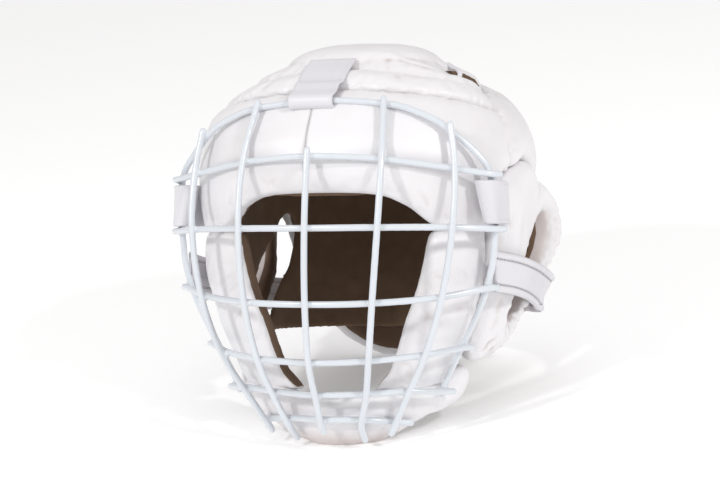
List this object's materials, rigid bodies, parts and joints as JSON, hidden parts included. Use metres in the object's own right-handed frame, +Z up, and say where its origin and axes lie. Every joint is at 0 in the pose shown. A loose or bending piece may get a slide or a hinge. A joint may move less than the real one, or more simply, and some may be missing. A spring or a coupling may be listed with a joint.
{
  "type": "martial arts grille helmet",
  "caption": "Padded leather sparring helmet with ear guards, chin pad, nape strap and a welded wire face grille.",
  "frame": {"origin": "centre of the bounding box's base, on the surface that the helmet rests on", "axes": "+Z up, -Y is the way the face looks while the helmet lies leaned back, +X is the wearer's left"},
  "size_m": [0.2518, 0.2868, 0.2498],
  "materials": {
    "white_leather": "satin",
    "strap_leather": "satin",
    "brown_suede": "matte",
    "coated_steel": "gloss"
  },
  "bodies": {
    "root": {"forehead_pad": "white_leather", "crown_band": "white_leather", "top_cap": "white_leather", "back_panel": "white_leather", "lining": "brown_suede", "chin_pad": "white_leather", "ear_guard_left": "white_leather", "cheek_pad_left": "white_leather", "side_loop_left": "strap_leather", "crown_lace_left": "strap_leather", "ear_guard_right": "white_leather", "cheek_pad_right": "white_leather", "side_loop_right": "strap_leather", "crown_lace_right": "strap_leather", "top_loop": "strap_leather", "nape_strap": "strap_leather", "wire_frame": "coated_steel", "wire_level_1": "coated_steel", "wire_level_2": "coated_steel", "wire_level_3": "coated_steel", "wire_level_4": "coated_steel", "wire_level_5": "coated_steel", "wire_level_6": "coated_steel", "wire_upright_middle": "coated_steel", "wire_upright_inner_left": "coated_steel", "wire_upright_outer_left": "coated_steel", "wire_upright_inner_right": "coated_steel", "wire_upright_outer_right": "coated_steel"}
  },
  "joints": []
}
